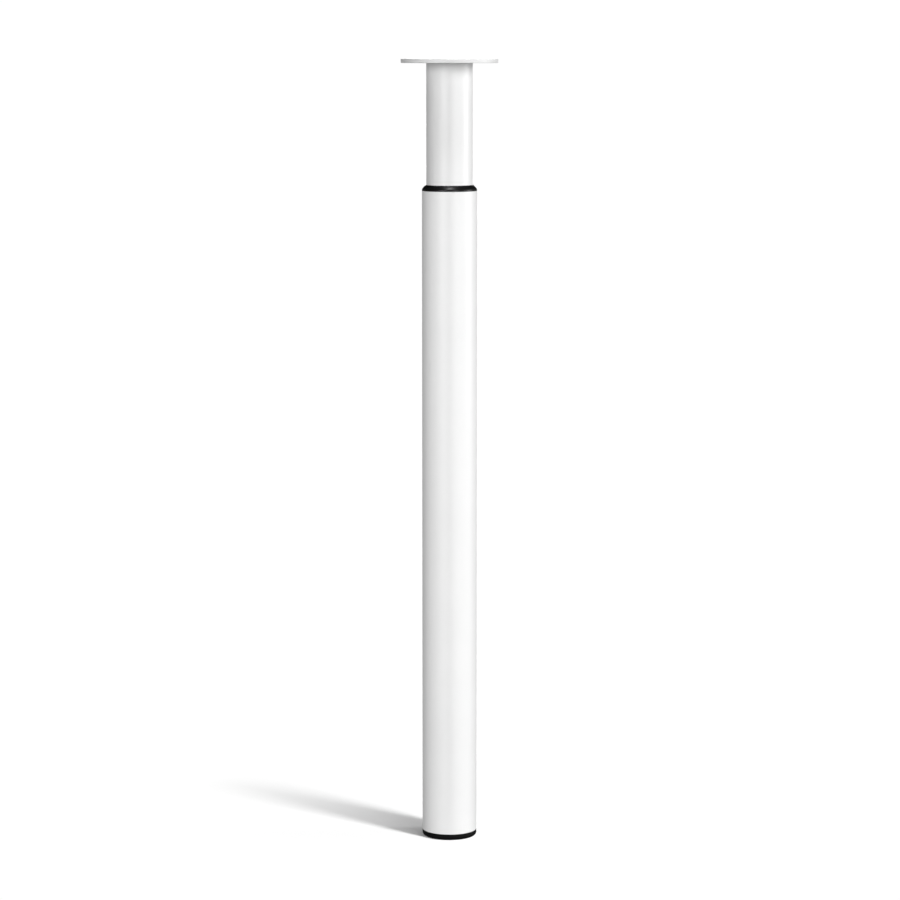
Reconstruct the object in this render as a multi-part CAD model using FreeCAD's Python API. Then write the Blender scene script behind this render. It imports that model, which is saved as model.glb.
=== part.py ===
import FreeCAD
import Part
import math
import os

# Telescopic table leg: a painted upper tube slides in a wider painted lower tube, and a twist of one
# against the other grips them at any height. Millimetres, +Z up, origin on the floor under the axis.

# Overall height pushed right in, the travel up from there, and how far it is drawn out here
HEIGHT_MIN = 607.0
STROKE = 293.0
DRAWN_OUT = 109.0

# The two steel tubes
UPPER_OD = 42.0
UPPER_WALL = 1.2
LOWER_WALL = 1.2
TUBE_EDGE_R = 0.4

# Round mounting plate and its countersunk screw holes
PLATE_D = 88.0
PLATE_T = 4.0
PLATE_EDGE_R = 0.9
SCREW_COUNT = 5
SCREW_EDGE = 10.0
SCREW_D = 5.5
SCREW_HEAD_D = 10.5

# Threaded hardware, all of one thread size
THREAD_D = 10.0
THREAD_PITCH = 1.5
THREAD_BREAK = 0.9
HEX_FLATS = 16.0
HEX_BREAK = 0.5
HEAD_H = 6.4
NUT_H = 8.4

# Flanged weld nut in the middle of the plate
WELD_NUT_WALL = 2.9
WELD_NUT_FLANGE_W = 4.0
WELD_NUT_FLANGE_T = 3.0

# Moulded plugs in the ends of the upper tube
PLUG_WALL = 2.5
PLUG_BOSS_WALL = 2.7
PLUG_RIBS = 6
PLUG_RIB_T = 2.0
PLUG_EDGE = 0.6
TOP_PLUG_L = 30.0
TOP_PLUG_DISC_T = 9.0
TOP_BOLT_SET = 0.3
END_PLUG_SPIGOT_L = 30.0
END_PLUG_FLANGE_T = 14.0

# Gripping lock under the upper tube
THRUST_WASHER_T = 1.5
THRUST_WASHER_W = 9.0
SLEEVE_L = 36.0
SLEEVE_CROWN_T = 8.0
SLEEVE_TIP_WALL = 3.8
SLEEVE_SLOTS = 6
SLEEVE_SLOT_W = 3.0
SLEEVE_GROOVES = 4
SLEEVE_GROOVE_W = 1.6
SLEEVE_GROOVE_DEPTH = 0.6
CONE_TAPER_DEG = 10.0
CONE_TOP_DROP = 3.0
CONE_PROUD = 4.0
CONE_KEYS = 3
CONE_KEY_L = 14.0
CONE_KEY_ROOT = 1.0
LOOSEN_TURNS = 2.0
CLIP_W = 4.3
CLIP_T = 1.2
CLIP_MOUTH_W = 6.0
CLIP_GROOVE_DEPTH = 0.8
SPINDLE_TAIL = 4.0

# Guide collar in the mouth of the lower tube
COLLAR_WALL = 2.55
COLLAR_LIP_H = 5.3
COLLAR_BAND_H = 1.5
COLLAR_LAND_W = 0.4
COLLAR_BULGE = 0.35
COLLAR_EDGE_R = 0.4
COLLAR_SKIRT_L = 60.0

# Foot cap in the bottom of the lower tube
FOOT_LIP_H = 5.5
FOOT_EDGE_R = 2.6
FOOT_FLOOR_T = 4.0
FOOT_SKIRT_L = 28.0
FOOT_SKIRT_WALL = 2.4
FOOT_RIBS = 4
FOOT_RIB_T = 2.0
FOOT_RECESS_D = 30.0
FOOT_RECESS_DEPTH = 0.8

# Clearances, on the radius or along the axis, and how far a cutter runs past what it cuts
PRESS_GAP = 0.05
SLIDE_GAP = 0.2
GRIP_GAP = 0.1
THREAD_GAP = 0.1
HOLE_GAP = 0.3
STOP_GAP = 0.5
OVERCUT = 1.0

# Radii that the fits share: the lower tube's bore leaves room for the collar's wall
UPPER_R = UPPER_OD / 2
UPPER_BORE_R = UPPER_R - UPPER_WALL
COLLAR_BORE_R = UPPER_R + SLIDE_GAP
COLLAR_SKIRT_R = COLLAR_BORE_R + COLLAR_WALL
LOWER_BORE_R = COLLAR_SKIRT_R + PRESS_GAP
LOWER_R = LOWER_BORE_R + LOWER_WALL
THREAD_R = THREAD_D / 2
TAPPED_R = THREAD_R + THREAD_GAP
BOLT_HOLE_R = THREAD_R + HOLE_GAP
WELD_NUT_R = TAPPED_R + WELD_NUT_WALL
WELD_NUT_FLANGE_R = WELD_NUT_R + WELD_NUT_FLANGE_W
HEX_CORNER_R = HEX_FLATS / math.sqrt(3)
PLUG_R = UPPER_BORE_R - PRESS_GAP
PLUG_BOSS_R = HEX_CORNER_R + PLUG_BOSS_WALL
SLEEVE_R = LOWER_BORE_R - GRIP_GAP
CLIP_SEAT_R = THREAD_R - CLIP_GROOVE_DEPTH

# Levels of the lower tube and its collar, from the floor up
LOWER_BOTTOM = FOOT_LIP_H
COLLAR_TOP = HEIGHT_MIN - PLATE_T - STOP_GAP
LOWER_TOP = COLLAR_TOP - COLLAR_LIP_H

# Levels of the plate and upper tube: drawn right out, its end flange stops at the collar's skirt
PLATE_TOP = HEIGHT_MIN + DRAWN_OUT
UPPER_TOP = PLATE_TOP - PLATE_T
UPPER_L = STROKE + COLLAR_LIP_H + COLLAR_SKIRT_L + 2 * STOP_GAP
UPPER_BOTTOM = UPPER_TOP - UPPER_L

# Levels of the lock, from the end flange down
FLANGE_BOTTOM = UPPER_BOTTOM - END_PLUG_FLANGE_T
SLEEVE_TOP = FLANGE_BOTTOM - THRUST_WASHER_T - HOLE_GAP
SLEEVE_BOTTOM = SLEEVE_TOP - SLEEVE_L
BORE_TOP = SLEEVE_TOP - SLEEVE_CROWN_T
CONE_TOP = BORE_TOP - CONE_TOP_DROP
CONE_BOTTOM = SLEEVE_BOTTOM - CONE_PROUD
CLIP_TOP = CONE_BOTTOM - LOOSEN_TURNS * THREAD_PITCH - STOP_GAP
CLIP_BOTTOM = CLIP_TOP - CLIP_T
SPINDLE_BOTTOM = CLIP_BOTTOM - SPINDLE_TAIL

AXIS = FreeCAD.Vector(0, 0, 1)
ORIGIN = FreeCAD.Vector(0, 0, 0)


def cylinder(radius, low, high):
    return Part.makeCylinder(radius, high - low, FreeCAD.Vector(0, 0, low))


def drill(radius, low, high):
    """Cutter for a hole that runs out past both levels."""
    return cylinder(radius, low - OVERCUT, high + OVERCUT)


def ring(outer, inner, low, high):
    return cylinder(outer, low, high).cut(drill(inner, low, high))


def groove_cutter(outer, inner, low, high):
    """Cutter for a groove turned into an outside diameter."""
    return ring(outer + OVERCUT, inner, low, high)


def outline_points(outline):
    return [FreeCAD.Vector(r, 0, z) for r, z in outline]


def revolved(wire):
    return Part.Face(wire).revolve(ORIGIN, AXIS, 360)


def turned(outline):
    """Solid of revolution from an outline of (radius, height) corners."""
    corners = outline_points(outline)
    return revolved(Part.makePolygon(corners + corners[:1]))


def hexagon(flats, low, high):
    """Hexagonal bar across the given flats."""
    corner_r = flats / math.sqrt(3)
    angles = [math.radians(60 * i) for i in range(7)]
    points = [FreeCAD.Vector(corner_r * math.cos(a), corner_r * math.sin(a), low) for a in angles]
    return Part.Face(Part.makePolygon(points)).extrude(FreeCAD.Vector(0, 0, high - low))


def hex_pocket(low, high):
    """Cutter for a pocket that a nut or bolt head is pressed into."""
    return hexagon(HEX_FLATS + 2 * PRESS_GAP, low, high)


def spokes(count, inner, outer, thickness, low, high):
    """Flat webs from one radius out to another, evenly spaced about the axis."""
    corner = FreeCAD.Vector(inner, -thickness / 2, low)
    bars = [Part.makeBox(outer - inner, thickness, high - low, corner) for i in range(count)]
    return [bar.rotate(ORIGIN, AXIS, 360 / count * i) for i, bar in enumerate(bars)]


def circles(shape, radius, height):
    """The shape's circular edges of that radius, about the axis, at that height."""
    centre = FreeCAD.Vector(0, 0, height)
    rims = [e for e in shape.Edges if isinstance(e.Curve, Part.Circle)]
    rims = [e for e in rims if e.Curve.Center.isEqual(centre, 1e-6)]
    return [e for e in rims if math.isclose(e.Curve.Radius, radius, abs_tol=1e-6)]


def shank(low, high, chamfered_end):
    """Screw shank at its outside diameter, with a lead-in chamfer at one end."""
    rod = cylinder(THREAD_R, low, high)
    return rod.makeChamfer(THREAD_BREAK, circles(rod, THREAD_R, chamfered_end))


def hex_piece(low, high):
    """Hexagon with its corners turned off at both faces, as on nuts and bolt heads."""
    face_r = HEX_CORNER_R - 2 * HEX_BREAK
    turned_off = turned(
        [
            (0, low),
            (face_r, low),
            (HEX_CORNER_R, low + HEX_BREAK),
            (HEX_CORNER_R, high - HEX_BREAK),
            (face_r, high),
            (0, high),
        ]
    )
    return hexagon(HEX_FLATS, low, high).common(turned_off)


def nut(low):
    high = low + NUT_H
    return hex_piece(low, high).cut(drill(TAPPED_R, low, high))


def tube(outer, bore, low, high):
    """Cut length of round steel tube, deburred at its four edges."""
    bare = ring(outer, bore, low, high)
    rims = [e for r in (outer, bore) for z in (low, high) for e in circles(bare, r, z)]
    return bare.makeFillet(min(TUBE_EDGE_R, (outer - bore) / 3), rims)


def upper_tube():
    return tube(UPPER_R, UPPER_BORE_R, UPPER_BOTTOM, UPPER_TOP)


def lower_tube():
    return tube(LOWER_R, LOWER_BORE_R, LOWER_BOTTOM, LOWER_TOP)


def mounting_plate():
    """Punched steel disc, its screw holes countersunk from below."""
    rim_r = PLATE_D / 2
    disc = cylinder(rim_r, UPPER_TOP, PLATE_TOP)
    rims = circles(disc, rim_r, UPPER_TOP) + circles(disc, rim_r, PLATE_TOP)
    disc = disc.makeFillet(min(PLATE_EDGE_R, PLATE_T / 3), rims)
    disc = disc.cut(drill(WELD_NUT_R + PRESS_GAP, UPPER_TOP, PLATE_TOP))
    sink_depth = (SCREW_HEAD_D - SCREW_D) / 2
    sink = Part.makeCone(SCREW_HEAD_D / 2, SCREW_D / 2, sink_depth, FreeCAD.Vector(0, 0, UPPER_TOP))
    screw_hole = drill(SCREW_D / 2, UPPER_TOP, PLATE_TOP).fuse(sink)
    screw_hole.translate(FreeCAD.Vector(0, rim_r - SCREW_EDGE, 0))
    angles = [360 / SCREW_COUNT * i for i in range(SCREW_COUNT)]
    return disc.cut([screw_hole.copy().rotate(ORIGIN, AXIS, angle) for angle in angles])


def weld_nut():
    """Barrel in the plate's centre hole with a flange under the plate, tapped right through."""
    flange_low = UPPER_TOP - WELD_NUT_FLANGE_T
    barrel = cylinder(WELD_NUT_R, flange_low, PLATE_TOP)
    flange = cylinder(WELD_NUT_FLANGE_R, flange_low, UPPER_TOP)
    return barrel.fuse(flange).removeSplitter().cut(drill(TAPPED_R, flange_low, PLATE_TOP))


def moulded_plug(low, high, disc_low, disc_high):
    """Plug for the upper tube's bore: a skirt, a boss and ribs, closed by a disc."""
    inside_r = PLUG_R - PLUG_WALL
    skirt = ring(PLUG_R, inside_r, low, high)
    boss = cylinder(PLUG_BOSS_R, low, high)
    disc = cylinder(PLUG_R, disc_low, disc_high)
    ribs = spokes(PLUG_RIBS, 0, inside_r + PLUG_WALL / 2, PLUG_RIB_T, low, high)
    return skirt.multiFuse([boss, disc] + ribs).removeSplitter()


def top_plug():
    """Plug that holds the fixing bolt, with a recess that clears the weld nut's flange."""
    low = UPPER_TOP - TOP_PLUG_L
    disc_low = UPPER_TOP - TOP_PLUG_DISC_T
    plug = moulded_plug(low, UPPER_TOP, disc_low, UPPER_TOP)
    recess_low = UPPER_TOP - WELD_NUT_FLANGE_T - HOLE_GAP
    recess = cylinder(WELD_NUT_FLANGE_R + HOLE_GAP, recess_low, UPPER_TOP + OVERCUT)
    hole = drill(BOLT_HOLE_R, disc_low, UPPER_TOP)
    return plug.cut([recess, hole, hex_pocket(low - OVERCUT, disc_low)])


def top_bolt():
    """Hex bolt, head down in the top plug, that screws up into the plate's weld nut."""
    seat = UPPER_TOP - TOP_PLUG_DISC_T
    end = PLATE_TOP - TOP_BOLT_SET
    return hex_piece(seat - HEAD_H, seat).fuse(shank(seat - HEAD_H / 2, end, end)).removeSplitter()


def end_plug():
    """Plug in the upper tube's lower end, with a flange that guides and stops it in the lower tube."""
    top = UPPER_BOTTOM + END_PLUG_SPIGOT_L
    plug = moulded_plug(UPPER_BOTTOM, top, UPPER_BOTTOM, UPPER_BOTTOM + PLUG_WALL)
    flange_r = LOWER_BORE_R - SLIDE_GAP
    flange = cylinder(flange_r, FLANGE_BOTTOM, UPPER_BOTTOM)
    rims = circles(flange, flange_r, FLANGE_BOTTOM) + circles(flange, flange_r, UPPER_BOTTOM)
    plug = plug.fuse(flange.makeChamfer(PLUG_EDGE, rims)).removeSplitter()
    nut_recess = cylinder(HEX_CORNER_R + HOLE_GAP, FLANGE_BOTTOM - OVERCUT, FLANGE_BOTTOM + NUT_H)
    hole = drill(BOLT_HOLE_R, FLANGE_BOTTOM, top)
    return plug.cut([nut_recess, hole, hex_pocket(top - HEAD_H, top + OVERCUT)])


def lock_spindle():
    """Long hex bolt fixed in the end plug, its thread hanging down through the lock."""
    seat = UPPER_BOTTOM + END_PLUG_SPIGOT_L - HEAD_H
    rod = shank(SPINDLE_BOTTOM, seat + HEAD_H / 2, SPINDLE_BOTTOM)
    spindle = hex_piece(seat, seat + HEAD_H).fuse(rod).removeSplitter()
    return spindle.cut(groove_cutter(THREAD_R, CLIP_SEAT_R, CLIP_BOTTOM, CLIP_TOP))


def spindle_nut():
    """Nut that clamps the spindle to the end plug, let into the flange."""
    return nut(FLANGE_BOTTOM)


def thrust_washer():
    """Flat ring between the end flange and the sleeve, which turn against each other."""
    outer = LOWER_BORE_R - 2 * SLIDE_GAP
    return ring(outer, outer - THRUST_WASHER_W, FLANGE_BOTTOM - THRUST_WASHER_T, FLANGE_BOTTOM)


def bore_radius(height):
    """Radius of the sleeve's tapered bore, widest at its open lower end."""
    slope = math.tan(math.radians(CONE_TAPER_DEG))
    return SLEEVE_R - SLEEVE_TIP_WALL - (height - SLEEVE_BOTTOM) * slope


def expander_sleeve():
    """Slit nylon sleeve, grooved outside, that the cone inside it spreads against the lower tube."""
    sleeve = turned(
        [
            (BOLT_HOLE_R, SLEEVE_TOP),
            (SLEEVE_R - PLUG_EDGE, SLEEVE_TOP),
            (SLEEVE_R, SLEEVE_TOP - PLUG_EDGE),
            (SLEEVE_R, SLEEVE_BOTTOM + PLUG_EDGE),
            (SLEEVE_R - PLUG_EDGE, SLEEVE_BOTTOM),
            (bore_radius(SLEEVE_BOTTOM), SLEEVE_BOTTOM),
            (bore_radius(BORE_TOP), BORE_TOP),
            (BOLT_HOLE_R, BORE_TOP),
        ]
    )
    groove_step = (BORE_TOP - SLEEVE_BOTTOM) / (SLEEVE_GROOVES + 1)
    groove_inner = SLEEVE_R - SLEEVE_GROOVE_DEPTH
    for i in range(SLEEVE_GROOVES):
        low = SLEEVE_BOTTOM + groove_step * (i + 1) - SLEEVE_GROOVE_W / 2
        sleeve = sleeve.cut(groove_cutter(SLEEVE_R, groove_inner, low, low + SLEEVE_GROOVE_W))
    slot_low = SLEEVE_BOTTOM - OVERCUT
    return sleeve.cut(spokes(SLEEVE_SLOTS, 0, LOWER_BORE_R, SLEEVE_SLOT_W, slot_low, BORE_TOP))


def expander_cone():
    """Cone that draws up into the sleeve, kept from turning by keys in the sleeve's slots."""
    foot_r = bore_radius(SLEEVE_BOTTOM) - GRIP_GAP
    cone = turned(
        [
            (BOLT_HOLE_R, CONE_TOP),
            (bore_radius(CONE_TOP) - GRIP_GAP, CONE_TOP),
            (foot_r, SLEEVE_BOTTOM),
            (foot_r, CONE_BOTTOM),
            (BOLT_HOLE_R, CONE_BOTTOM),
        ]
    )
    key_top = CONE_BOTTOM + CONE_KEY_L
    key_root = bore_radius(key_top) - GRIP_GAP - CONE_KEY_ROOT
    key_outer = SLEEVE_R - SLEEVE_GROOVE_DEPTH - HOLE_GAP
    key_w = SLEEVE_SLOT_W - 2 * HOLE_GAP
    keys = spokes(CONE_KEYS, key_root, key_outer, key_w, CONE_BOTTOM, key_top)
    pocket = hex_pocket(CONE_BOTTOM - OVERCUT, CONE_BOTTOM + NUT_H)
    return cone.multiFuse(keys).removeSplitter().cut(pocket)


def cone_nut():
    """Steel nut held in the cone's hexagonal pocket."""
    return nut(CONE_BOTTOM)


def stop_clip():
    """Open retaining ring in the spindle's groove, which keeps the cone from running off."""
    inner = CLIP_SEAT_R + PRESS_GAP
    outer = CLIP_SEAT_R + CLIP_W
    clip = ring(outer, inner, CLIP_BOTTOM + PRESS_GAP, CLIP_TOP - PRESS_GAP)
    return clip.cut(spokes(1, 0, outer + OVERCUT, CLIP_MOUTH_W, CLIP_BOTTOM, CLIP_TOP))


def guide_collar():
    """Moulded bush in the lower tube's mouth: a bevelled lip that shows, and a skirt that guides."""
    skirt_low = LOWER_TOP - COLLAR_SKIRT_L
    band_top = LOWER_TOP + COLLAR_BAND_H
    corners = outline_points(
        [
            (COLLAR_BORE_R + COLLAR_LAND_W, COLLAR_TOP),
            (COLLAR_BORE_R, COLLAR_TOP),
            (COLLAR_BORE_R, skirt_low),
            (COLLAR_SKIRT_R - PLUG_EDGE, skirt_low),
            (COLLAR_SKIRT_R, skirt_low + PLUG_EDGE),
            (COLLAR_SKIRT_R, LOWER_TOP),
            (LOWER_R, LOWER_TOP),
            (LOWER_R, band_top),
        ]
    )
    bevel_chord = corners[0] - corners[-1]
    outward = FreeCAD.Vector(bevel_chord.z, 0, -bevel_chord.x).normalize()
    bevel_middle = (corners[0] + corners[-1]) * 0.5 + outward * COLLAR_BULGE
    bevel = Part.Arc(corners[-1], bevel_middle, corners[0]).toShape()
    collar = revolved(Part.Wire([bevel] + Part.makePolygon(corners).Edges))
    return collar.makeFillet(COLLAR_EDGE_R, circles(collar, LOWER_R, band_top))


def foot_cap():
    """Moulded cap with a rounded lip the width of the tube, hollow and ribbed above its floor."""
    skirt_r = LOWER_BORE_R - PRESS_GAP
    skirt_top = LOWER_BOTTOM + FOOT_SKIRT_L
    inside_r = skirt_r - FOOT_SKIRT_WALL
    lip = cylinder(LOWER_R, 0, LOWER_BOTTOM)
    lip = lip.makeFillet(min(FOOT_EDGE_R, FOOT_LIP_H / 2), circles(lip, LOWER_R, 0))
    skirt = cylinder(skirt_r, LOWER_BOTTOM, skirt_top)
    skirt = skirt.makeChamfer(PLUG_EDGE, circles(skirt, skirt_r, skirt_top))
    hollow = cylinder(inside_r, FOOT_FLOOR_T, skirt_top + OVERCUT)
    recess = cylinder(FOOT_RECESS_D / 2, -OVERCUT, FOOT_RECESS_DEPTH)
    cap = lip.fuse(skirt).removeSplitter().cut([hollow, recess])
    rib_outer = inside_r + FOOT_SKIRT_WALL / 2
    ribs = spokes(FOOT_RIBS, 0, rib_outer, FOOT_RIB_T, FOOT_FLOOR_T / 2, skirt_top - PLUG_EDGE)
    return cap.multiFuse(ribs).removeSplitter()


PIECES = {
    "mounting_plate": mounting_plate(),
    "weld_nut": weld_nut(),
    "top_plug": top_plug(),
    "top_bolt": top_bolt(),
    "upper_tube": upper_tube(),
    "end_plug": end_plug(),
    "lock_spindle": lock_spindle(),
    "spindle_nut": spindle_nut(),
    "thrust_washer": thrust_washer(),
    "expander_sleeve": expander_sleeve(),
    "expander_cone": expander_cone(),
    "cone_nut": cone_nut(),
    "stop_clip": stop_clip(),
    "guide_collar": guide_collar(),
    "lower_tube": lower_tube(),
    "foot_cap": foot_cap(),
}

os.makedirs("parts", exist_ok=True)
for name, shape in PIECES.items():
    shape.exportStep(f"parts/{name}.step")
    print(name, len(shape.Solids), shape.isValid(), round(shape.Volume, 1))
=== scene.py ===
import math

import bmesh
import bpy
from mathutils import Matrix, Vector


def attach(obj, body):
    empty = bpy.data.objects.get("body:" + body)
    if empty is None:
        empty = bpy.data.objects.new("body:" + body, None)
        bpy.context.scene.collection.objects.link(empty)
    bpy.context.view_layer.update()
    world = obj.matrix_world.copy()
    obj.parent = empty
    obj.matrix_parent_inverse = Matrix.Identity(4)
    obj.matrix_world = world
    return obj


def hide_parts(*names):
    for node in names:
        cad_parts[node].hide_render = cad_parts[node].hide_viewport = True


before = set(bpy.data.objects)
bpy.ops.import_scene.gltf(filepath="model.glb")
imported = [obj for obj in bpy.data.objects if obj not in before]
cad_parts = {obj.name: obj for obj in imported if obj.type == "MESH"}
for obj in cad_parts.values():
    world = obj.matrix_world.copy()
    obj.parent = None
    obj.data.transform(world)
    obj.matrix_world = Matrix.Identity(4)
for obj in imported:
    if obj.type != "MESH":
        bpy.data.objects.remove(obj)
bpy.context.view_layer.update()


# Lower tube. The outer half of the leg: welded steel tube, 50 mm across with a 1.2 mm wall, cut
# square and deburred, then powder coated white. The foot cap closes its bottom end, and the collar
# its mouth.
MM = 0.001
LOWER_R = 25.0 * MM
LOWER_BORE_R = 23.8 * MM
LOWER_BOTTOM = 5.5 * MM
LOWER_TOP = 597.2 * MM
TUBE_EDGE_R = 0.4 * MM
EDGE_STEPS = 4
ROUND_STEPS = 160
WHOLE_NUMBERS = ("Steps", "Rings", "Count")
MERGE = 0.003 * MM
SHARP_ANGLE = math.radians(35)
NOISE_LOW = 0.3
NOISE_HIGH = 0.7
NOISE_ROUGHNESS = 0.55


def add_node(tree, kind, inputs=None, **settings):
    """Add a node, with its settings, and values or links for its input sockets."""
    node = tree.nodes.new(kind)
    for name, value in settings.items():
        setattr(node, name, value)
    for name, value in (inputs or {}).items():
        if isinstance(value, bpy.types.NodeSocket):
            tree.links.new(value, node.inputs[name])
        else:
            node.inputs[name].default_value = value
    return node


def math_node(tree, operation, *values):
    """Result of one sum or function on sockets and numbers."""
    inputs = dict(enumerate(values))
    return add_node(tree, "ShaderNodeMath", inputs, operation=operation).outputs[0]


def surface(name, tones, tone_scale, gloss, gloss_scale, relief, **shader_values):
    """Finish whose tone, gloss and relief vary over the piece, at scales per metre.

    Relief heights are in metres. Other values go straight to the shader's own sockets.
    """
    finish = bpy.data.materials.new(name)
    finish.use_nodes = True
    tree = finish.node_tree
    shader = tree.nodes["Principled BSDF"]
    for socket, value in shader_values.items():
        shader.inputs[socket.replace("_", " ")].default_value = value
    place = add_node(tree, "ShaderNodeTexCoord").outputs["Object"]

    def noise(scale, detail):
        values = {"Vector": place, "Scale": scale, "Detail": detail, "Roughness": NOISE_ROUGHNESS}
        return add_node(tree, "ShaderNodeTexNoise", values).outputs["Fac"]

    tone = add_node(tree, "ShaderNodeValToRGB", {"Fac": noise(tone_scale, detail=4.0)})
    for stop, share, colour in zip(tone.color_ramp.elements, (NOISE_LOW, NOISE_HIGH), tones):
        stop.position = share
        stop.color = (*colour, 1.0)
    tree.links.new(tone.outputs["Color"], shader.inputs["Base Color"])
    rough = {
        "Value": noise(gloss_scale, detail=3.0),
        "From Min": NOISE_LOW,
        "From Max": NOISE_HIGH,
        "To Min": gloss[0],
        "To Max": gloss[1],
    }
    rough = add_node(tree, "ShaderNodeMapRange", rough).outputs["Result"]
    tree.links.new(rough, shader.inputs["Roughness"])
    height = 0.0
    for scale, depth in relief:
        height = math_node(tree, "MULTIPLY_ADD", noise(scale, detail=2.0), depth, height)
    bump = {"Height": height, "Strength": 1.0, "Distance": 1.0}
    bump = add_node(tree, "ShaderNodeBump", bump).outputs["Normal"]
    tree.links.new(bump, shader.inputs["Normal"])
    return finish


def geometry_tree(name, sizes, takes_mesh=False):
    """Empty geometry tree with a named input for each size, a finish, and one mesh out."""
    tree = bpy.data.node_groups.new(name, "GeometryNodeTree")
    if takes_mesh:
        tree.interface.new_socket("Blank", in_out="INPUT", socket_type="NodeSocketGeometry")
    for size in sizes:
        kind = "NodeSocketInt" if size in WHOLE_NUMBERS else "NodeSocketFloat"
        tree.interface.new_socket(size, in_out="INPUT", socket_type=kind)
    tree.interface.new_socket("Finish", in_out="INPUT", socket_type="NodeSocketMaterial")
    tree.interface.new_socket("Piece", in_out="OUTPUT", socket_type="NodeSocketGeometry")
    return tree, tree.nodes.new("NodeGroupInput").outputs


def close_tree(tree, geometry, finish):
    """End a geometry tree: one real mesh, smooth, in its finish."""
    whole = add_node(tree, "GeometryNodeRealizeInstances", {"Geometry": geometry}).outputs[0]
    whole = add_node(tree, "GeometryNodeSetShadeSmooth", {"Geometry": whole}).outputs[0]
    whole = {"Geometry": whole, "Material": finish}
    whole = add_node(tree, "GeometryNodeSetMaterial", whole).outputs[0]
    add_node(tree, "NodeGroupOutput", {"Piece": whole})


def moved(tree, geometry, x=0.0, z=0.0, turn=0.0):
    """Geometry moved along X and Z and turned about the leg's axis, inside a tree."""
    place = add_node(tree, "ShaderNodeCombineXYZ", {"X": x, "Z": z}).outputs[0]
    values = {"Geometry": geometry, "Translation": place, "Rotation": (0.0, 0.0, turn)}
    return add_node(tree, "GeometryNodeTransform", values).outputs[0]


def bake(piece):
    """Turn a piece's modifiers into its own plain mesh."""
    graph = bpy.context.evaluated_depsgraph_get()
    mesh = bpy.data.meshes.new_from_object(piece.evaluated_get(graph))
    piece.modifiers.clear()
    piece.data = mesh


def dress(piece):
    """Join a piece's seams, point its faces outwards, and shade it smooth up to its sharp edges."""
    form = bmesh.new()
    form.from_mesh(piece.data)
    bmesh.ops.remove_doubles(form, verts=form.verts, dist=MERGE)
    bmesh.ops.dissolve_degenerate(form, edges=form.edges, dist=MERGE)
    bmesh.ops.recalc_face_normals(form, faces=form.faces)
    form.to_mesh(piece.data)
    form.free()
    piece.data.shade_smooth()
    piece.data.set_sharp_from_angle(angle=SHARP_ANGLE)
    piece.modifiers.new("even_normals", "WEIGHTED_NORMAL").keep_sharp = True
    bake(piece)


def new_piece(name, mesh):
    """Object with a mesh, in the scene at the origin."""
    piece = bpy.data.objects.new(name, mesh)
    bpy.context.scene.collection.objects.link(piece)
    return piece


def grow(name, tree, sizes, blank=None):
    """Piece made by a geometry tree from its sizes, as a plain mesh at the origin."""
    piece = new_piece(name, blank or bpy.data.meshes.new(name))
    maker = piece.modifiers.new("maker", "NODES")
    maker.node_group = tree
    for socket in tree.interface.items_tree:
        if socket.name in sizes:
            maker[socket.identifier] = sizes[socket.name]
    bake(piece)
    dress(piece)
    return piece


def tube_tree():
    """Ring or tube: the section of its wall, with rounded edges, swept round the axis."""
    sizes = ["Outer radius", "Wall", "Bottom", "Top", "Edge radius", "Steps"]
    tree, size = geometry_tree("round_tube", sizes)
    length = math_node(tree, "SUBTRACT", size["Top"], size["Bottom"])
    middle = math_node(tree, "MULTIPLY_ADD", length, 0.5, size["Bottom"])
    middle_r = math_node(tree, "MULTIPLY_ADD", size["Wall"], -0.5, size["Outer radius"])
    wall = {"Width": size["Wall"], "Height": length}
    wall = add_node(tree, "GeometryNodeCurvePrimitiveQuadrilateral", wall).outputs[0]
    wall = {"Curve": wall, "Count": EDGE_STEPS, "Radius": size["Edge radius"], "Limit Radius": True}
    wall = add_node(tree, "GeometryNodeFilletCurve", wall, mode="POLY").outputs[0]
    path = {"Resolution": size["Steps"], "Radius": middle_r}
    path = add_node(tree, "GeometryNodeCurvePrimitiveCircle", path).outputs[0]
    swept = {"Curve": path, "Profile Curve": wall}
    swept = add_node(tree, "GeometryNodeCurveToMesh", swept).outputs[0]
    close_tree(tree, moved(tree, swept, z=middle), size["Finish"])
    return tree


white_powder_coat = surface(
    "white_powder_coat",
    tones=((0.845, 0.846, 0.845), (0.872, 0.872, 0.870)),
    tone_scale=14.0,
    gloss=(0.36, 0.48),
    gloss_scale=45.0,
    relief=((520.0, 30e-6), (2400.0, 8e-6)),
)
round_tube = tube_tree()
lower_tube = grow(
    "lower_tube_coated",
    round_tube,
    {
        "Outer radius": LOWER_R,
        "Wall": LOWER_R - LOWER_BORE_R,
        "Bottom": LOWER_BOTTOM,
        "Top": LOWER_TOP,
        "Edge radius": TUBE_EDGE_R,
        "Steps": ROUND_STEPS,
        "Finish": white_powder_coat,
    },
)
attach(lower_tube, "lower")
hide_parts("lower_tube")


# Foot cap. One matt black moulding pressed into the bottom of the lower tube: a lip as wide as the
# tube, rounded where it meets the floor, and a hollow skirt that crossed ribs keep stiff.
FOOT_EDGE_R = 2.6 * MM
FOOT_SKIRT_R = 23.75 * MM
FOOT_INSIDE_R = 21.35 * MM
FOOT_FLOOR = 4.0 * MM
FOOT_SKIRT_TOP = 33.5 * MM
FOOT_RECESS_R = 15.0 * MM
FOOT_RECESS_DEPTH = 0.8 * MM
SKIRT_CHAMFER = 0.6 * MM
RIB_COUNT = 4
RIB_THICKNESS = 2.0 * MM
RIB_ROOT = 1.2 * MM
SEAM = 0.0001 * MM


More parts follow.
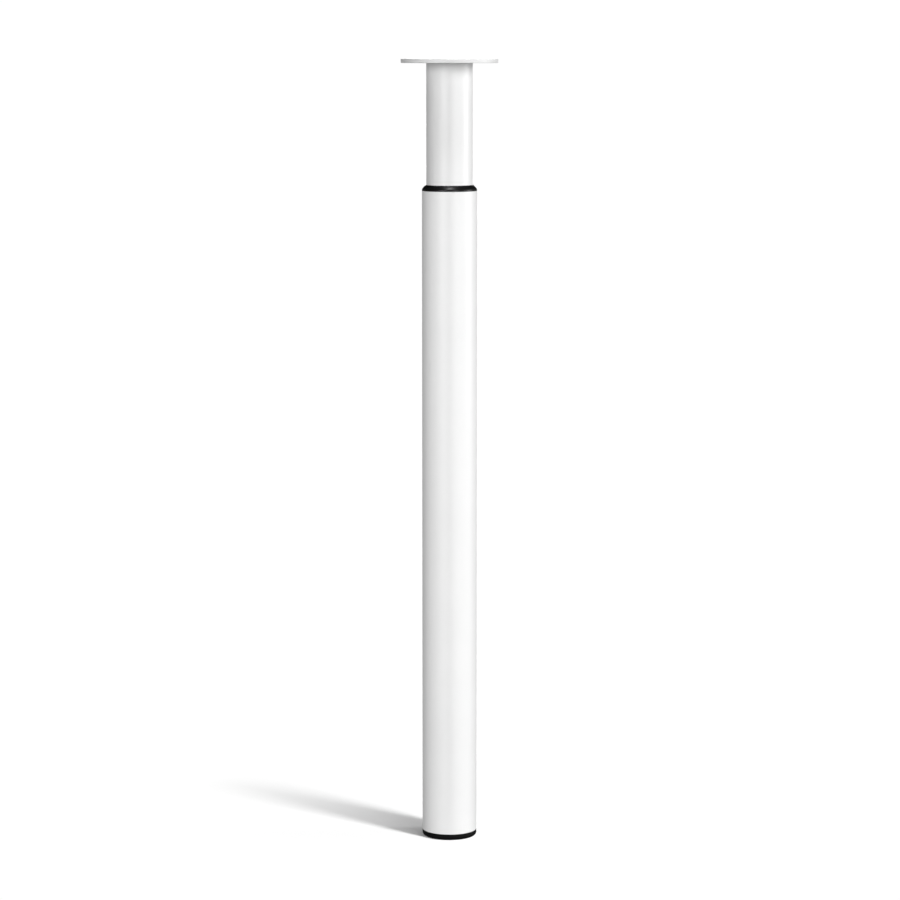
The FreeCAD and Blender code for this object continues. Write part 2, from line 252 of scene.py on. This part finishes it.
def closed_grid(name, grid, finish):
    """Piece from rows of points, joined along and across, the last row and point to the first."""
    form = bmesh.new()
    rows = [[form.verts.new(point) for point in row] for row in grid]
    for row, following in zip(rows, rows[1:] + rows[:1]):
        for j in range(len(row)):
            k = (j + 1) % len(row)
            form.faces.new((row[j], following[j], following[k], row[k]))
    bmesh.ops.remove_doubles(form, verts=form.verts, dist=SEAM)
    mesh = bpy.data.meshes.new(name)
    form.to_mesh(mesh)
    form.free()
    mesh.materials.append(finish)
    piece = new_piece(name, mesh)
    dress(piece)
    return piece


def turn_on_lathe(name, outline, finish, steps=ROUND_STEPS):
    """Piece of revolution about the leg's axis, from a closed outline of (radius, height)."""
    angles = [math.tau * i / steps for i in range(steps)]
    grid = [[(r * math.cos(a), r * math.sin(a), z) for r, z in outline] for a in angles]
    return closed_grid(name, grid, finish)


def quarter_round(centre, radius, start, end, count=8):
    """Points of an arc about a centre of (radius, height), angles in degrees."""
    angles = [math.radians(start + (end - start) * i / count) for i in range(count + 1)]
    return [(centre[0] + radius * math.cos(a), centre[1] + radius * math.sin(a)) for a in angles]


def rib_tree():
    """Blank with flat ribs let into it, evenly spaced about the axis."""
    sizes = ["Count", "Inner radius", "Outer radius", "Thickness", "Bottom", "Top"]
    tree, size = geometry_tree("ribbed_moulding", sizes, takes_mesh=True)
    length = math_node(tree, "SUBTRACT", size["Outer radius"], size["Inner radius"])
    height = math_node(tree, "SUBTRACT", size["Top"], size["Bottom"])
    block = {"X": length, "Y": size["Thickness"], "Z": height}
    block = add_node(tree, "ShaderNodeCombineXYZ", block).outputs[0]
    rib = add_node(tree, "GeometryNodeMeshCube", {"Size": block}).outputs["Mesh"]
    out = math_node(tree, "MULTIPLY_ADD", length, 0.5, size["Inner radius"])
    up = math_node(tree, "MULTIPLY_ADD", height, 0.5, size["Bottom"])
    rib = moved(tree, rib, x=out, z=up)
    points = add_node(tree, "GeometryNodePoints", {"Count": size["Count"]}).outputs[0]
    index = add_node(tree, "GeometryNodeInputIndex").outputs[0]
    share = math_node(tree, "DIVIDE", index, size["Count"])
    turn = {"Z": math_node(tree, "MULTIPLY", share, math.tau)}
    turn = add_node(tree, "ShaderNodeCombineXYZ", turn).outputs[0]
    ribs = {"Points": points, "Instance": rib, "Rotation": turn}
    ribs = add_node(tree, "GeometryNodeInstanceOnPoints", ribs).outputs[0]
    ribs = add_node(tree, "GeometryNodeRealizeInstances", {"Geometry": ribs}).outputs[0]
    union = add_node(tree, "GeometryNodeMeshBoolean", operation="UNION", solver="EXACT")
    for shape in (size["Blank"], ribs):
        tree.links.new(shape, union.inputs["Mesh 2"])
    union.inputs["Self Intersection"].default_value = True
    close_tree(tree, union.outputs["Mesh"], size["Finish"])
    return tree


matt_black = surface(
    "matt_black_moulding",
    tones=((0.002, 0.002, 0.002), (0.005, 0.005, 0.005)),
    tone_scale=60.0,
    gloss=(0.58, 0.74),
    gloss_scale=150.0,
    relief=((900.0, 40e-6), (2600.0, 30e-6)),
    Specular_IOR_Level=0.07,
)
foot_outline = [
    (0.0, FOOT_RECESS_DEPTH),
    (FOOT_RECESS_R, FOOT_RECESS_DEPTH),
    (FOOT_RECESS_R, 0.0),
    *quarter_round((LOWER_R - FOOT_EDGE_R, FOOT_EDGE_R), FOOT_EDGE_R, -90, 0),
    (LOWER_R, LOWER_BOTTOM),
    (FOOT_SKIRT_R, LOWER_BOTTOM),
    (FOOT_SKIRT_R, FOOT_SKIRT_TOP - SKIRT_CHAMFER),
    (FOOT_SKIRT_R - SKIRT_CHAMFER, FOOT_SKIRT_TOP),
    (FOOT_INSIDE_R, FOOT_SKIRT_TOP),
    (FOOT_INSIDE_R, FOOT_FLOOR),
    (0.0, FOOT_FLOOR),
]
foot_blank = turn_on_lathe("foot_blank", foot_outline, matt_black)
foot_cap = grow(
    "foot_cap_moulded",
    rib_tree(),
    {
        "Count": RIB_COUNT,
        "Inner radius": 0.0,
        "Outer radius": FOOT_INSIDE_R + RIB_ROOT,
        "Thickness": RIB_THICKNESS,
        "Bottom": FOOT_FLOOR / 2,
        "Top": FOOT_SKIRT_TOP - SKIRT_CHAMFER,
        "Finish": matt_black,
    },
    foot_blank.data,
)
bpy.data.objects.remove(foot_blank)
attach(foot_cap, "lower")
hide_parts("foot_cap")


# Guide collar. Semi-gloss black moulding pressed into the mouth of the lower tube: a plain band as
# wide as the tube, a crowned bevel up to the upper tube, and a long skirt inside that guides the
# slide.
COLLAR_BORE_R = 21.2 * MM
COLLAR_SKIRT_R = 23.75 * MM
COLLAR_TOP = 602.5 * MM
COLLAR_LAND = 0.25 * MM
COLLAR_BAND_TOP = 598.7 * MM
COLLAR_CROWN = 0.22 * MM
COLLAR_EDGE = 0.25 * MM
COLLAR_SKIRT_LOW = 537.2 * MM


def crowned(start, end, crown, count=14):
    """Points from start to end along an arc that bows out by the crown."""
    start, end = Vector(start), Vector(end)
    chord = end - start
    out = Vector((chord.y, -chord.x)).normalized()
    radius = chord.length_squared / (8 * crown) + crown / 2
    centre = (start + end) / 2 + out * (crown - radius)
    half = math.asin(chord.length / 2 / radius)
    along = chord.normalized()
    angles = [half * (2 * i / count - 1) for i in range(count + 1)]
    points = [centre + out * radius * math.cos(a) + along * radius * math.sin(a) for a in angles]
    return [tuple(point) for point in points]


def eased(before, corner, after, count=5):
    """Points of a rounded corner between a point before it and a point after it."""
    before, corner, after = Vector(before), Vector(corner), Vector(after)
    shares = [i / count for i in range(count + 1)]
    points = [before * (1 - t) ** 2 + corner * 2 * t * (1 - t) + after * t * t for t in shares]
    return [tuple(point) for point in points]


semi_gloss_black = surface(
    "semi_gloss_black_moulding",
    tones=((0.004, 0.004, 0.004), (0.008, 0.008, 0.008)),
    tone_scale=70.0,
    gloss=(0.29, 0.36),
    gloss_scale=220.0,
    relief=((1500.0, 1.2e-6), (420.0, 2e-6)),
    Specular_IOR_Level=0.27,
)
bevel_low = (LOWER_R, COLLAR_BAND_TOP)
bevel_high = (COLLAR_BORE_R + COLLAR_LAND, COLLAR_TOP)
bevel = crowned(bevel_low, bevel_high, COLLAR_CROWN)
collar_outline = [
    (COLLAR_BORE_R, COLLAR_TOP),
    (COLLAR_BORE_R, COLLAR_SKIRT_LOW),
    (COLLAR_SKIRT_R - SKIRT_CHAMFER, COLLAR_SKIRT_LOW),
    (COLLAR_SKIRT_R, COLLAR_SKIRT_LOW + SKIRT_CHAMFER),
    (COLLAR_SKIRT_R, LOWER_TOP),
    (LOWER_R, LOWER_TOP),
    *eased((LOWER_R, COLLAR_BAND_TOP - COLLAR_EDGE), bevel[0], bevel[1]),
    *bevel[2:],
]
guide_collar = turn_on_lathe("guide_collar_moulded", collar_outline, semi_gloss_black)
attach(guide_collar, "lower")
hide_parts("guide_collar")


# Upper tube. The sliding half of the leg: 42 mm steel tube with a 1.2 mm wall, coated like the
# lower one. It runs down through the collar to the lock, and the plug under the plate closes its
# top.
UPPER_R = 21.0 * MM
UPPER_BORE_R = 19.8 * MM
UPPER_BOTTOM = 352.7 * MM
UPPER_TOP = 712.0 * MM

upper_tube = grow(
    "upper_tube_coated",
    round_tube,
    {
        "Outer radius": UPPER_R,
        "Wall": UPPER_R - UPPER_BORE_R,
        "Bottom": UPPER_BOTTOM,
        "Top": UPPER_TOP,
        "Edge radius": TUBE_EDGE_R,
        "Steps": ROUND_STEPS,
        "Finish": white_powder_coat,
    },
)
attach(upper_tube, "upper")
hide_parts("upper_tube")


# Plugs and cone. Dark grey mouldings with ribs inside, left as the solids have them: one plug is
# pressed into each end of the upper tube, and the cone is drawn up into the slit sleeve.
dark_grey = surface(
    "dark_grey_moulding",
    tones=((0.050, 0.050, 0.054), (0.068, 0.068, 0.073)),
    tone_scale=50.0,
    gloss=(0.48, 0.62),
    gloss_scale=160.0,
    relief=((1200.0, 25e-6), (3000.0, 10e-6)),
)
for name in ("top_plug", "end_plug", "expander_cone"):
    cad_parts[name].material_slots[0].material = dark_grey


# Sleeve and thrust washer. Natural nylon, left as the solids have them: the sleeve is slit into
# fingers that the cone spreads against the lower tube's bore, and the washer lets the plug above
# turn on it.
natural_nylon = surface(
    "natural_nylon",
    tones=((0.74, 0.71, 0.62), (0.80, 0.78, 0.70)),
    tone_scale=40.0,
    gloss=(0.36, 0.50),
    gloss_scale=120.0,
    relief=((700.0, 20e-6), (2200.0, 8e-6)),
    Subsurface_Weight=0.2,
    Subsurface_Radius=(0.002, 0.0018, 0.0014),
)
for name in ("thrust_washer", "expander_sleeve"):
    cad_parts[name].material_slots[0].material = natural_nylon


# Lock spindle and top bolt. Zinc plated steel with a rolled 10 mm thread of 1.5 mm pitch. The
# spindle is held by its head in the lower plug and hangs through the lock, and the bolt stands up
# from the upper plug into the plate's nut.
THREAD_R = 5.0 * MM
THREAD_PITCH = 1.5 * MM
THREAD_DEPTH = 0.85 * MM
THREAD_LEAD = 0.9 * MM
THREAD_CREST = 0.07
THREAD_ROOT = 0.43
HEX_FLATS = 16.0 * MM
HEX_BREAK = 0.5 * MM
HEX_STEPS = 96
HEAD_H = 6.4 * MM
NECK_SPARE = 0.1 * MM
HEAD_NECK = HEAD_H / 2 + THREAD_DEPTH + NECK_SPARE
EDGE_TURN = math.radians(1.2)
SPLIT_CORNERS = 5
SPINDLE_SEAT = 376.3 * MM
SPINDLE_LOW = 288.2 * MM
SPINDLE_STEPS = 40
SPINDLE_RINGS = 480
CLIP_LOW = 292.2 * MM
CLIP_HIGH = 293.4 * MM
CLIP_SEAT_R = 4.2 * MM
BOLT_SEAT = 703.0 * MM
BOLT_END = 715.7 * MM
BOLT_STEPS = 48
BOLT_RINGS = 110
NO_GROOVE = 0.0


def thread_tree():
    """Threaded rod: a finely divided bar, its skin cut along a helix, with a lead at each end."""
    sizes = ["Radius", "Depth", "Pitch", "Bottom", "Top", "Low lead", "High lead"]
    sizes += ["Groove bottom", "Groove top", "Groove radius", "Steps", "Rings"]
    tree, size = geometry_tree("rolled_thread", sizes)
    length = math_node(tree, "SUBTRACT", size["Top"], size["Bottom"])
    middle = math_node(tree, "MULTIPLY_ADD", length, 0.5, size["Bottom"])
    bar = {
        "Vertices": size["Steps"],
        "Side Segments": size["Rings"],
        "Radius": size["Radius"],
        "Depth": length,
    }
    bar = add_node(tree, "GeometryNodeMeshCylinder", bar, fill_type="NGON").outputs["Mesh"]
    # A small turn keeps the bar's edges off those of the head that is welded to it.
    bar = moved(tree, bar, z=middle, turn=EDGE_TURN)
    place = add_node(tree, "GeometryNodeInputPosition").outputs[0]
    place = add_node(tree, "ShaderNodeSeparateXYZ", {"Vector": place}).outputs
    angle = math_node(tree, "ARCTAN2", place["Y"], place["X"])
    rise = math_node(tree, "SUBTRACT", place["Z"], size["Bottom"])
    turns = math_node(tree, "DIVIDE", rise, size["Pitch"])
    turns = math_node(tree, "MULTIPLY_ADD", angle, -1 / math.tau, turns)
    phase = math_node(tree, "FRACT", turns)
    flank = {
        "Value": math_node(tree, "PINGPONG", phase, 0.5),
        "From Min": THREAD_CREST,
        "From Max": THREAD_ROOT,
        "To Min": 0.0,
        "To Max": size["Depth"],
    }
    flank = add_node(tree, "ShaderNodeMapRange", flank).outputs["Result"]
    skin = math_node(tree, "SUBTRACT", size["Radius"], flank)
    drop = math_node(tree, "SUBTRACT", size["Top"], place["Z"])
    for lead, from_end in ((size["Low lead"], rise), (size["High lead"], drop)):
        cone = math_node(tree, "ADD", size["Radius"], from_end)
        cone = math_node(tree, "SUBTRACT", cone, lead)
        skin = math_node(tree, "MINIMUM", skin, cone)
    above = math_node(tree, "GREATER_THAN", place["Z"], size["Groove bottom"])
    below = math_node(tree, "LESS_THAN", place["Z"], size["Groove top"])
    cut = math_node(tree, "MULTIPLY", above, below)
    grooved = math_node(tree, "MINIMUM", skin, size["Groove radius"])
    change = math_node(tree, "MULTIPLY", cut, math_node(tree, "SUBTRACT", grooved, skin))
    skin = math_node(tree, "ADD", skin, change)
    point = {
        "X": math_node(tree, "MULTIPLY", skin, math_node(tree, "COSINE", angle)),
        "Y": math_node(tree, "MULTIPLY", skin, math_node(tree, "SINE", angle)),
        "Z": place["Z"],
    }
    point = add_node(tree, "ShaderNodeCombineXYZ", point).outputs[0]
    rod = {"Geometry": bar, "Position": point}
    rod = add_node(tree, "GeometryNodeSetPosition", rod).outputs[0]
    close_tree(tree, rod, size["Finish"])
    return tree


def hex_rings(low, high):
    """Rings of a hexagon bar, its corners turned off, each giving (reach, height) at an angle."""
    corner_r = HEX_FLATS / math.sqrt(3)
    face_r = corner_r - 2 * HEX_BREAK

    def reach(angle):
        return HEX_FLATS / 2 / math.cos(angle % (math.pi / 3) - math.pi / 6)

    def turned_off(angle):
        return max(0.0, reach(angle) - face_r) / 2

    return [
        lambda a: (min(face_r, reach(a)), low),
        lambda a: (reach(a), low + turned_off(a)),
        lambda a: (reach(a), high - turned_off(a)),
        lambda a: (min(face_r, reach(a)), high),
    ]


def hex_piece(name, rings, finish):
    """Nut or bolt head from its rings, the first and last meeting in the bore or on the axis."""
    angles = [math.tau * i / HEX_STEPS for i in range(HEX_STEPS)]
    grid = []
    for ring in rings:
        reaches = [ring(a) for a in angles]
        grid.append([(r * math.cos(a), r * math.sin(a), z) for a, (r, z) in zip(angles, reaches)])
    return closed_grid(name, grid, finish)


def hex_head(name, low, high, finish):
    """Solid hexagon head between two levels."""
    axis = [lambda a: (0.0, low), lambda a: (0.0, high)]
    return hex_piece(name, axis[:1] + hex_rings(low, high) + axis[1:], finish)


def weld(piece, other):
    """Make a piece one solid with another that runs into it."""
    union = piece.modifiers.new("weld", "BOOLEAN")
    union.operation = "UNION"
    union.solver = "EXACT"
    union.object = other
    # The faces of many corners that the union leaves are split before they are cleaned.
    piece.modifiers.new("split", "TRIANGULATE").min_vertices = SPLIT_CORNERS
    bake(piece)
    bpy.data.objects.remove(other)
    dress(piece)


zinc_plate = surface(
    "zinc_plated_steel",
    tones=((0.56, 0.57, 0.58), (0.68, 0.68, 0.66)),
    tone_scale=180.0,
    gloss=(0.26, 0.40),
    gloss_scale=400.0,
    relief=((1800.0, 6e-6), (5200.0, 3e-6)),
    Metallic=1.0,
)
rolled_thread = thread_tree()
lock_spindle = grow(
    "lock_spindle_threaded",
    rolled_thread,
    {
        "Radius": THREAD_R,
        "Depth": THREAD_DEPTH,
        "Pitch": THREAD_PITCH,
        "Bottom": SPINDLE_LOW,
        "Top": SPINDLE_SEAT + HEAD_H / 2,
        "Low lead": THREAD_LEAD,
        "High lead": HEAD_NECK,
        "Groove bottom": CLIP_LOW,
        "Groove top": CLIP_HIGH,
        "Groove radius": CLIP_SEAT_R,
        "Steps": SPINDLE_STEPS,
        "Rings": SPINDLE_RINGS,
        "Finish": zinc_plate,
    },
)
weld(lock_spindle, hex_head("spindle_head", SPINDLE_SEAT, SPINDLE_SEAT + HEAD_H, zinc_plate))
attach(lock_spindle, "upper")
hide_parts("lock_spindle")

top_bolt = grow(
    "top_bolt_threaded",
    rolled_thread,
    {
        "Radius": THREAD_R,
        "Depth": THREAD_DEPTH,
        "Pitch": THREAD_PITCH,
        "Bottom": BOLT_SEAT - HEAD_H / 2,
        "Top": BOLT_END,
        "Low lead": HEAD_NECK,
        "High lead": THREAD_LEAD,
        "Groove bottom": NO_GROOVE,
        "Groove top": NO_GROOVE,
        "Groove radius": THREAD_R,
        "Steps": BOLT_STEPS,
        "Rings": BOLT_RINGS,
        "Finish": zinc_plate,
    },
)
weld(top_bolt, hex_head("bolt_head", BOLT_SEAT - HEAD_H, BOLT_SEAT, zinc_plate))
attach(top_bolt, "upper")
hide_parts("top_bolt")


# Nuts and stop clip. Zinc plated steel: one nut clamps the spindle to the lower plug, one is held
# in the cone's pocket, and the spring clip near the spindle's end keeps the cone from running off.
TAPPED_R = 5.1 * MM
NUT_H = 8.4 * MM
NUT_LEAD = 0.5 * MM
SPINDLE_NUT_LOW = 338.7 * MM
CONE_NUT_LOW = 296.9 * MM


def nut(name, low):
    """Hexagon nut that stands on a level, its bore widened at both ends."""
    high = low + NUT_H
    bore = [
        lambda a: (TAPPED_R + NUT_LEAD, high),
        lambda a: (TAPPED_R, high - NUT_LEAD),
        lambda a: (TAPPED_R, low + NUT_LEAD),
        lambda a: (TAPPED_R + NUT_LEAD, low),
    ]
    return hex_piece(name, hex_rings(low, high) + bore, zinc_plate)


spindle_nut = nut("spindle_nut_plated", SPINDLE_NUT_LOW)
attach(spindle_nut, "upper")
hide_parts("spindle_nut")
cone_nut = nut("cone_nut_plated", CONE_NUT_LOW)
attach(cone_nut, "lock_cone")
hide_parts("cone_nut")
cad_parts["stop_clip"].material_slots[0].material = zinc_plate


# Mounting plate. Disc punched from 4 mm steel, its rim rounded, powder coated white. Its coat is
# painted greyer than the tubes' as painted shade, so the rim reads darker. Five holes countersunk
# from below take wood screws up into the table top, and the weld nut sits in the centre hole.
PLATE_R = 44.0 * MM
PLATE_TOP = 716.0 * MM
PLATE_EDGE_R = 0.5 * MM
CENTRE_HOLE_R = 8.05 * MM
SCREW_COUNT = 5
SCREW_CIRCLE_R = 34.0 * MM
SCREW_R = 2.75 * MM
SCREW_HEAD_R = 5.25 * MM
DRILL_STEPS = 66


def plate_tree():
    """Round plate with a centre hole and a ring of countersunk holes, the first towards +Y."""
    sizes = ["Radius", "Bottom", "Top", "Edge radius", "Centre radius", "Count", "Circle radius"]
    sizes += ["Screw radius", "Head radius", "Steps"]
    tree, size = geometry_tree("drilled_plate", sizes)
    thickness = math_node(tree, "SUBTRACT", size["Top"], size["Bottom"])
    deep = math_node(tree, "MULTIPLY", thickness, 2.0)
    blank = {
        "Outer radius": size["Radius"],
        "Wall": math_node(tree, "SUBTRACT", size["Radius"], size["Centre radius"]),
        "Bottom": size["Bottom"],
        "Top": size["Top"],
        "Edge radius": size["Edge radius"],
        "Steps": size["Steps"],
        "Finish": size["Finish"],
    }
    disc = tree.nodes.new("GeometryNodeGroup")
    disc.node_tree = round_tube
    for name, socket in blank.items():
        tree.links.new(socket, disc.inputs[name])
    # The drill starts as a unit bar of three rings. The low ring flares past the screw head's
    # radius, the middle one goes up to where the countersink ends, and the high one clears the
    # plate.
    unit = {"Vertices": DRILL_STEPS, "Side Segments": 2, "Radius": 1.0, "Depth": 2.0}
    drill = add_node(tree, "GeometryNodeMeshCylinder", unit).outputs["Mesh"]
    place = add_node(tree, "GeometryNodeInputPosition").outputs[0]
    place = add_node(tree, "ShaderNodeSeparateXYZ", {"Vector": place}).outputs
    low = math_node(tree, "LESS_THAN", place["Z"], -0.5)
    high = math_node(tree, "GREATER_THAN", place["Z"], 0.5)
    sink = math_node(tree, "SUBTRACT", size["Head radius"], size["Screw radius"])
    down = math_node(tree, "ADD", sink, thickness)
    reach = math_node(tree, "MULTIPLY_ADD", low, down, size["Screw radius"])
    level = math_node(tree, "ADD", size["Bottom"], sink)
    level = math_node(tree, "MULTIPLY_ADD", high, deep, level)
    point = {
        "X": math_node(tree, "MULTIPLY", place["X"], reach),
        "Y": math_node(tree, "MULTIPLY", place["Y"], reach),
        "Z": math_node(tree, "SUBTRACT", level, math_node(tree, "MULTIPLY", low, down)),
    }
    point = add_node(tree, "ShaderNodeCombineXYZ", point).outputs[0]
    drill = {"Geometry": drill, "Position": point}
    drill = add_node(tree, "GeometryNodeSetPosition", drill).outputs[0]
    circle = {"Vertices": size["Count"], "Radius": size["Circle radius"]}
    circle = add_node(tree, "GeometryNodeMeshCircle", circle).outputs[0]
    circle = moved(tree, circle, turn=math.pi / 2)
    drills = {"Points": circle, "Instance": drill}
    drills = add_node(tree, "GeometryNodeInstanceOnPoints", drills).outputs[0]
    drills = add_node(tree, "GeometryNodeRealizeInstances", {"Geometry": drills}).outputs[0]
    cut = add_node(tree, "GeometryNodeMeshBoolean", operation="DIFFERENCE", solver="EXACT")
    tree.links.new(disc.outputs["Piece"], cut.inputs["Mesh 1"])
    tree.links.new(drills, cut.inputs["Mesh 2"])
    close_tree(tree, cut.outputs["Mesh"], size["Finish"])
    return tree


# Painted shade: a greyer copy of the tubes' white coat, to darken the plate's rim.
plate_coat_painted_shade = surface(
    "grey_coat_painted_shade",
    tones=((0.735, 0.736, 0.735), (0.768, 0.768, 0.766)),
    tone_scale=14.0,
    gloss=(0.44, 0.56),
    gloss_scale=45.0,
    relief=((520.0, 30e-6), (2400.0, 8e-6)),
)
mounting_plate = grow(
    "mounting_plate_coated",
    plate_tree(),
    {
        "Radius": PLATE_R,
        "Bottom": UPPER_TOP,
        "Top": PLATE_TOP,
        "Edge radius": PLATE_EDGE_R,
        "Centre radius": CENTRE_HOLE_R,
        "Count": SCREW_COUNT,
        "Circle radius": SCREW_CIRCLE_R,
        "Screw radius": SCREW_R,
        "Head radius": SCREW_HEAD_R,
        "Steps": ROUND_STEPS,
        "Finish": plate_coat_painted_shade,
    },
)
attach(mounting_plate, "upper")
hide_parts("mounting_plate")


# Weld nut. Zinc plated steel barrel, flush with the top of the plate, with a flange under it and a
# tapped hole right through. The top bolt screws up into it and holds the plate to the tube.
NUT_FLANGE_LOW = 709.0 * MM
NUT_FLANGE_R = 12.0 * MM
NUT_BARREL_R = 8.0 * MM
NUT_EDGE = 0.25 * MM
NUT_STEPS = 96

nut_outline = [
    (TAPPED_R, NUT_FLANGE_LOW + NUT_LEAD),
    (TAPPED_R + NUT_LEAD, NUT_FLANGE_LOW),
    (NUT_FLANGE_R - NUT_EDGE, NUT_FLANGE_LOW),
    (NUT_FLANGE_R, NUT_FLANGE_LOW + NUT_EDGE),
    (NUT_FLANGE_R, UPPER_TOP),
    (NUT_BARREL_R, UPPER_TOP),
    (NUT_BARREL_R, PLATE_TOP - NUT_EDGE),
    (NUT_BARREL_R - NUT_EDGE, PLATE_TOP),
    (TAPPED_R + NUT_LEAD, PLATE_TOP),
    (TAPPED_R, PLATE_TOP - NUT_LEAD),
]
weld_nut = turn_on_lathe("weld_nut_plated", nut_outline, zinc_plate, NUT_STEPS)
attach(weld_nut, "upper")
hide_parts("weld_nut")


# Floor. A wide white studio sheet under the foot. It takes the leg's shadow near the foot, and
# glows ever brighter further out up to plain white, painted light that fades the shadow away. To
# the leg it glows evenly, as painted bounce light.
FLOOR_HALF = 60.0
FLOOR_GREY = 0.74
PAINTED_BOUNCE_GLOW = 0.3
SHADOW_REACH = 0.33
SHADOW_FADE = 0.7
PLAIN_WHITE = 1.02
WHITE = (1.0, 1.0, 1.0, 1.0)

floor_corners = [
    (-FLOOR_HALF, -FLOOR_HALF, 0.0),
    (FLOOR_HALF, -FLOOR_HALF, 0.0),
    (FLOOR_HALF, FLOOR_HALF, 0.0),
    (-FLOOR_HALF, FLOOR_HALF, 0.0),
]
floor_mesh = bpy.data.meshes.new("studio_floor")
floor_mesh.from_pydata(floor_corners, [], [(0, 1, 2, 3)])
floor = new_piece("studio_floor", floor_mesh)
floor_white = bpy.data.materials.new("floor_white")
floor_white.use_nodes = True
paint = floor_white.node_tree
paint.nodes.remove(paint.nodes["Principled BSDF"])
place = add_node(paint, "ShaderNodeTexCoord").outputs["Object"]
reach = add_node(paint, "ShaderNodeVectorMath", {0: place}, operation="LENGTH").outputs["Value"]
reach = {"Value": reach, "From Min": 0.0, "From Max": SHADOW_REACH}
reach = add_node(paint, "ShaderNodeMapRange", reach).outputs["Result"]
# Painted light: the share of glow grows with distance from the foot and washes out the shadow.
painted_glow_share = math_node(paint, "POWER", reach, SHADOW_FADE)
seen = add_node(paint, "ShaderNodeLightPath").outputs["Is Camera Ray"]
painted_glow_share = math_node(paint, "MAXIMUM", painted_glow_share, math_node(paint, "SUBTRACT", 1.0, seen))
# Painted bounce: to rays other than the camera's, the floor glows evenly at this strength.
level = {"Value": seen, "To Min": PAINTED_BOUNCE_GLOW, "To Max": PLAIN_WHITE}
level = add_node(paint, "ShaderNodeMapRange", level).outputs["Result"]
sheet = {"Color": (FLOOR_GREY, FLOOR_GREY, FLOOR_GREY, 1.0)}
sheet = add_node(paint, "ShaderNodeBsdfDiffuse", sheet).outputs[0]
glow = add_node(paint, "ShaderNodeEmission", {"Color": WHITE, "Strength": level}).outputs[0]
mixed = add_node(paint, "ShaderNodeMixShader", {0: painted_glow_share, 1: sheet, 2: glow}).outputs[0]
paint.links.new(mixed, paint.nodes["Material Output"].inputs["Surface"])
floor_mesh.materials.append(floor_white)


# Studio light. A plain white room to the eye. Tall soft boxes at the left, front and right light
# the leg. Small ones above and behind light its top, the collar and its back, but not the floor,
# and a sun from the right front, for the floor alone, throws the shadow.
LEG_MIDDLE = Vector((0.0, 0.0, 0.4))
BOX_DISTANCE = 16.0
SUN_DISTANCE = 4.0
SUN_STRENGTH = 5.1
SUN_SPREAD = math.radians(9)

room = bpy.data.worlds.new("white_room")
bpy.context.scene.world = room
room.use_nodes = True
sky = room.node_tree
seen = add_node(sky, "ShaderNodeLightPath").outputs["Is Camera Ray"]
bright = {"Value": seen, "To Min": 0.0, "To Max": PLAIN_WHITE}
bright = add_node(sky, "ShaderNodeMapRange", bright).outputs["Result"]
sky.nodes["Background"].inputs["Color"].default_value = WHITE
sky.links.new(bright, sky.nodes["Background"].inputs["Strength"])


def aim(lamp, turn, rise, distance):
    """Lamp aimed at the leg's middle, turned from the front to the right and raised, in degrees."""
    turn, rise = math.radians(turn), math.radians(rise)
    level = math.cos(rise)
    away = Vector((math.sin(turn) * level, -math.cos(turn) * level, math.sin(rise)))
    stand = bpy.data.objects.new(lamp.name, lamp)
    stand.location = LEG_MIDDLE + away * distance
    stand.rotation_euler = away.to_track_quat("Z", "Y").to_euler()
    bpy.context.scene.collection.objects.link(stand)
    return stand


def soft_box(name, turn, rise, strength, width, height):
    """Flat lamp of a width and height in metres and a strength in watts."""
    lamp = bpy.data.lights.new(name, "AREA")
    lamp.shape = "RECTANGLE"
    lamp.size = width
    lamp.size_y = height
    lamp.energy = strength
    return aim(lamp, turn, rise, BOX_DISTANCE)


soft_box("left_box", turn=-28, rise=4, strength=1900.0, width=5.6, height=10.0)
soft_box("front_box", turn=28, rise=17, strength=1025.0, width=5.6, height=10.0)
soft_box("side_box", turn=91, rise=8, strength=2180.0, width=2.2, height=10.0)
top_box = soft_box("top_box", turn=4, rise=79, strength=1440.0, width=1.6, height=3.6)
back_box = soft_box("back_box", turn=180, rise=12, strength=960.0, width=1.6, height=5.2)
rear_box = soft_box("rear_box", turn=200, rise=1, strength=860.0, width=4.0, height=1.2)
rear_box.visible_camera = False
rear_box.visible_glossy = False
off_floor = bpy.data.collections.new("off_floor")
off_floor.objects.link(floor)
off_floor.collection_objects[0].light_linking.link_state = "EXCLUDE"
for box in (top_box, back_box, rear_box):
    box.light_linking.receiver_collection = off_floor
sun_lamp = bpy.data.lights.new("shadow_sun", "SUN")
sun_lamp.energy = SUN_STRENGTH
sun_lamp.angle = SUN_SPREAD
shadow_sun = aim(sun_lamp, turn=47, rise=42, distance=SUN_DISTANCE)
floor_only = bpy.data.collections.new("floor_only")
floor_only.objects.link(floor)
shadow_sun.light_linking.receiver_collection = floor_only


# Camera. Level with the plate, straight in front of the leg, and tilted down so that the whole leg
# stands in the frame.
CAMERA_LENS = 123.3
CAMERA_SENSOR = 36.0
CAMERA_PLACE = (0.00047, -2.8, 0.723)
CAMERA_PITCH = math.radians(90.0 - 7.381)

camera_body = bpy.data.cameras.new("camera")
camera_body.lens = CAMERA_LENS
camera_body.sensor_width = CAMERA_SENSOR
camera = bpy.data.objects.new("camera", camera_body)
camera.location = CAMERA_PLACE
camera.rotation_euler = (CAMERA_PITCH, 0.0, 0.0)
bpy.context.scene.collection.objects.link(camera)
bpy.context.scene.camera = camera
bpy.context.scene.view_settings.view_transform = "Standard"
